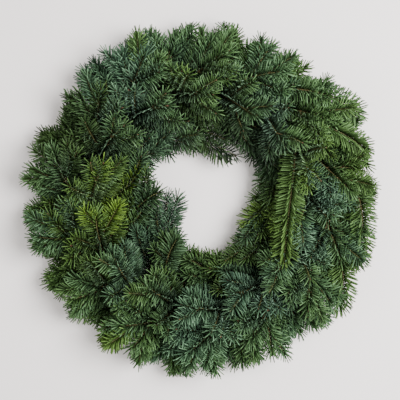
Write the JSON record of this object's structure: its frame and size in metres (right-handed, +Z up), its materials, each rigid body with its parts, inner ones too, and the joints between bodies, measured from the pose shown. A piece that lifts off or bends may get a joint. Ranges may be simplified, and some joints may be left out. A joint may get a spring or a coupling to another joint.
{
  "type": "fresh evergreen wreath",
  "caption": "Round wreath of cut fir sprays bound clockwise onto a wire ring with reel wire; it lies flat or hangs from a nail by its ring.",
  "frame": {"origin": "middle of the underside of the whole wreath, which lies on its back; the middle of the ring frame is directly over it, within a few millimetres of the middle of the outline", "axes": "+Z up, out of the wreath's front; +Y towards the top of the wreath as it would hang; +X to the right seen from the front; the sprays grow clockwise seen from +Z"},
  "size_m": [0.5792, 0.5773, 0.1163],
  "materials": {
    "fir_needles": "living fir needles, waxy, blue-green to yellow-green, paler underneath",
    "fir_twigs": "young orange-brown bark with small resinous buds",
    "ring_wire": "dark oxidised steel wire",
    "reel_wire": "green lacquered iron wire"
  },
  "bodies": {
    "root": {"ring_frame": "ring_wire", "binding_wire": "reel_wire", "spray_outer_01": "fir_needles", "spray_shoulder_01": "fir_needles", "spray_crown_01": "fir_needles", "spray_inner_01": "fir_needles", "spray_outer_02": "fir_needles", "spray_shoulder_02": "fir_needles", "spray_crown_02": "fir_needles", "spray_inner_02": "fir_needles", "spray_outer_03": "fir_needles", "spray_shoulder_03": "fir_needles", "spray_crown_03": "fir_needles", "spray_inner_03": "fir_needles", "spray_outer_04": "fir_needles", "spray_shoulder_04": "fir_needles", "spray_crown_04": "fir_needles", "spray_inner_04": "fir_needles", "spray_outer_05": "fir_needles", "spray_shoulder_05": "fir_needles", "spray_crown_05": "fir_needles", "spray_inner_05": "fir_needles", "spray_outer_06": "fir_needles", "spray_shoulder_06": "fir_needles", "spray_crown_06": "fir_needles", "spray_inner_06": "fir_needles", "spray_outer_07": "fir_needles", "spray_shoulder_07": "fir_needles", "spray_crown_07": "fir_needles", "spray_inner_07": "fir_needles", "spray_outer_08": "fir_needles", "spray_shoulder_08": "fir_needles", "spray_crown_08": "fir_needles", "spray_inner_08": "fir_needles", "spray_outer_09": "fir_needles", "spray_shoulder_09": "fir_needles", "spray_crown_09": "fir_needles", "spray_inner_09": "fir_needles", "spray_outer_10": "fir_needles", "spray_shoulder_10": "fir_needles", "spray_crown_10": "fir_needles", "spray_inner_10": "fir_needles", "spray_outer_11": "fir_needles", "spray_shoulder_11": "fir_needles", "spray_crown_11": "fir_needles", "spray_inner_11": "fir_needles", "spray_outer_12": "fir_needles", "spray_shoulder_12": "fir_needles", "spray_crown_12": "fir_needles", "spray_inner_12": "fir_needles", "spray_outer_13": "fir_needles", "spray_shoulder_13": "fir_needles", "spray_crown_13": "fir_needles", "spray_inner_13": "fir_needles", "spray_outer_14": "fir_needles", "spray_shoulder_14": "fir_needles", "spray_crown_14": "fir_needles", "spray_inner_14": "fir_needles"}
  },
  "joints": []
}
